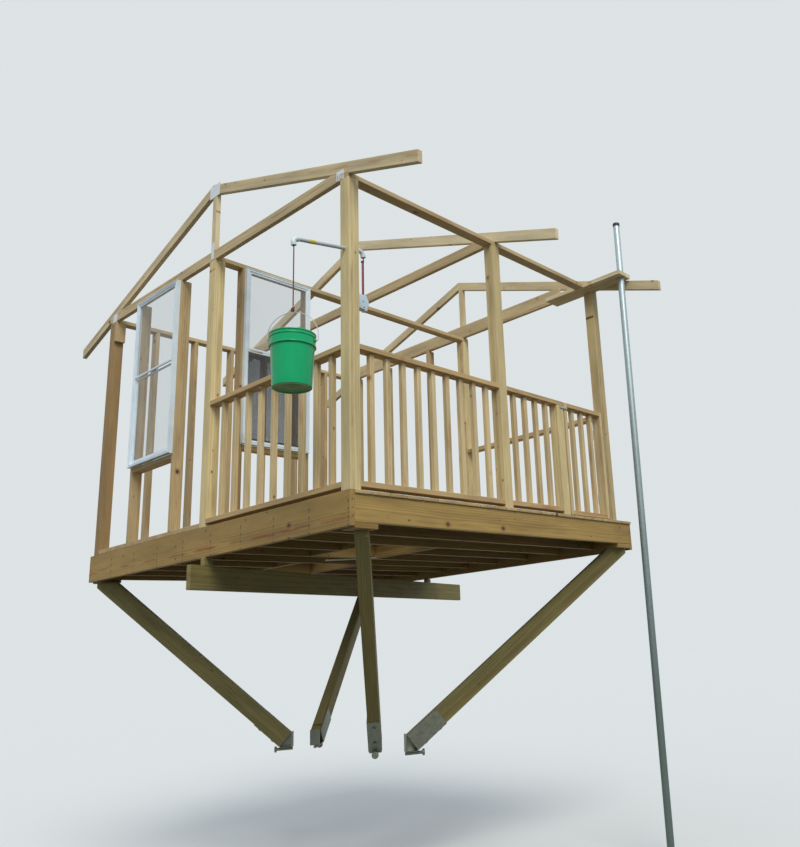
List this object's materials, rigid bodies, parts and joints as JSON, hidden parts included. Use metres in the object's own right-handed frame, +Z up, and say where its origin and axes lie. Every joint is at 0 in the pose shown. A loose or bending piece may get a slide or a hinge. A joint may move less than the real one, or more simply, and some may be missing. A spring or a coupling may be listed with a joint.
{
  "type": "tree house",
  "caption": "Timber tree house frame with a railed porch, a room with two windows, open rafters, knee braces, a gate, a pole and a bucket on a rope hoist.",
  "frame": {"origin": "on the far face of the main beam, at its mid height, where it is bolted to its support", "axes": "+X along the porch front to the right, +Y from the porch to the back of the room, +Z up"},
  "size_m": [4.4811, 5.026, 5.7314],
  "materials": {
    "lumber": "weathered softwood",
    "deck_boards": "weathered softwood",
    "post_lumber": "planed treated softwood",
    "stud_lumber": "planed treated softwood",
    "rafter_lumber": "planed treated softwood",
    "rail_lumber": "planed treated softwood",
    "galvanised_steel": "galvanised, dull",
    "zinc_hinge": "zinc plated",
    "white_frame": "white, satin",
    "pane": "clear",
    "screen_mesh": "dark woven mesh",
    "black_cap": "black",
    "hoist_tube": "pale grey",
    "white_plastic": "white",
    "reel_plastic": "pale blue white",
    "red_cord": "dark red braided cord",
    "wire": "zinc plated wire",
    "green_plastic": "green, moulded"
  },
  "bodies": {
    "frame": {"rims_side": "lumber", "rims_across": "lumber", "joists": "lumber", "hole_headers": "lumber", "corner_blocks": "lumber", "decking": "deck_boards", "main_beam": "lumber", "beam_packing": "lumber", "knee_braces": "lumber", "brace_shoes": "galvanised_steel", "anchor_bolts": "galvanised_steel", "brace_bolts": "galvanised_steel", "tie_rod": "galvanised_steel", "posts": "post_lumber", "gate_post": "post_lumber", "wall_studs": "stud_lumber", "sole_plates": "stud_lumber", "window_sills": "stud_lumber", "flat_plates": "stud_lumber", "edge_plates": "stud_lumber", "tie_beam": "stud_lumber", "hanger_block": "stud_lumber", "rafters_front": "rafter_lumber", "rafters_back": "rafter_lumber", "king_studs": "rafter_lumber", "tie_plates": "galvanised_steel", "railing_front": "rail_lumber", "railing_short": "rail_lumber", "railing_side": "rail_lumber", "rail_right": "rail_lumber", "post_hinge_leaves": "zinc_hinge", "latch": "zinc_hinge", "left_window_frame": "white_frame", "left_window_sashes": "white_frame", "left_window_glass": "pane", "inner_window_frame": "white_frame", "inner_window_sashes": "white_frame", "inner_window_glass": "pane", "window_screen": "screen_mesh", "pole": "galvanised_steel", "pole_cap": "black_cap", "pole_board": "lumber", "hoist_pipe": "hoist_tube", "hoist_elbows": "white_plastic", "reel": "reel_plastic", "rope": "red_cord", "rope_tail": "red_cord", "knots": "red_cord", "bail": "wire"},
    "gate": {"gate": "rail_lumber", "gate_hinge_leaves": "zinc_hinge"},
    "bucket": {"bucket": "green_plastic"}
  },
  "joints": [
    {"name": "gate_hinge", "type": "hinge", "parent": "frame", "child": "gate", "pos_m": [1.482, -2.129, 0.54], "axis": [0, 0, -1], "range_deg": [0, 90]},
    {"name": "bucket_swing", "type": "hinge", "parent": "frame", "child": "bucket", "pos_m": [-1.83303, -2.1805, 1.295], "axis": [0.6198, -0.7848, 0], "range_deg": [-80, 80]}
  ]
}
